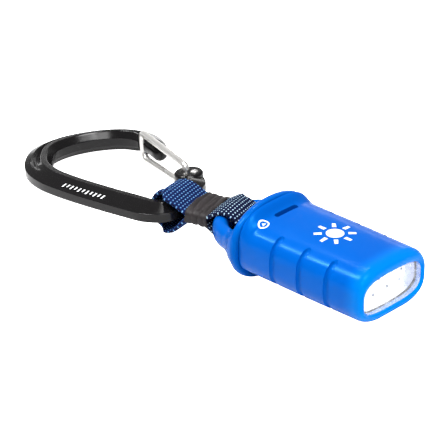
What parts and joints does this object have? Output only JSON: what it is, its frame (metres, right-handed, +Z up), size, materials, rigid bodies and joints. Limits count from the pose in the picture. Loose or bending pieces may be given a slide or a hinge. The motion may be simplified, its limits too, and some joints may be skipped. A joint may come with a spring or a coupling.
{
  "type": "keychain flashlight",
  "caption": "Flat blue push-pull keychain flashlight with a clear front lens, on a short webbing strap that hangs from a black wire-gate carabiner.",
  "frame": {"origin": "under the middle of the overall box, on the surface that the flange and the carabiner's far end rest on", "axes": "+X along the lamp and out of the lens, +Y to the left of the lamp seen from above with the lens ahead, +Z up out of the lamp's slotted face"},
  "size_m": [0.1306, 0.0422, 0.0218],
  "materials": {
    "blue_shell": "satin-gloss moulded",
    "blue_cap": "satin-gloss moulded",
    "clear_lens": "clear moulded, frosted sides",
    "black_rubber": "matt",
    "reflector_white": "bright metallised",
    "board_white": "solder mask",
    "led_light": "phosphor",
    "chip_black": "matt epoxy",
    "inner_grey": "matt moulded",
    "contact_metal": "nickel plated",
    "cell_steel": "satin steel",
    "webbing_blue": "woven, light flecks",
    "sleeve_black": "heat-shrunk, creased",
    "thread_black": "bonded thread",
    "anodised_black": "gloss black anodised",
    "gate_steel": "drawn stainless wire"
  },
  "bodies": {
    "lamp": {"shell": "blue_shell", "lens": "clear_lens", "lens_gasket": "black_rubber", "reflector": "reflector_white", "led_board": "board_white", "led_left": "led_light", "led_middle": "led_light", "led_right": "led_light", "driver_chip": "chip_black", "board_resistors": "chip_black", "module_retainer": "inner_grey", "contact_spring": "contact_metal", "contact_strip": "contact_metal"},
    "battery_core": {"tail_cap": "blue_cap", "tail_seal": "black_rubber", "battery_tray": "inner_grey", "coin_cell_lower": "cell_steel", "coin_cell_upper": "cell_steel", "cell_contact": "contact_metal"},
    "strap": {"webbing": "webbing_blue", "webbing_sleeve": "sleeve_black", "webbing_stitching": "thread_black"},
    "carabiner": {"carabiner_frame": "anodised_black"},
    "gate": {"wire_gate": "gate_steel"}
  },
  "joints": [
    {"name": "tail_slide", "type": "slide", "parent": "lamp", "child": "battery_core", "axis": [-1, 0, 0], "range_m": [0, 0.026]},
    {"name": "strap_swing", "type": "hinge", "parent": "battery_core", "child": "strap", "pos_m": [0.01239, -0.00537, 0.0109], "axis": [-0.225, 0.9744, 0], "range_deg": [-45, 45]},
    {"name": "carabiner_swing", "type": "hinge", "parent": "strap", "child": "carabiner", "pos_m": [-0.00525, -0.00945, 0.0095], "axis": [-0.225, 0.9744, 0], "range_deg": [-43, 50]},
    {"name": "gate_hinge", "type": "hinge", "parent": "carabiner", "child": "gate", "pos_m": [-0.01452, 0.00562, 0.00859], "axis": [-0.1088, -0.0038, 0.9941], "range_deg": [0, 30], "stiffness_Nm_per_rad": 0.02, "springref_deg": -57.3}
  ]
}
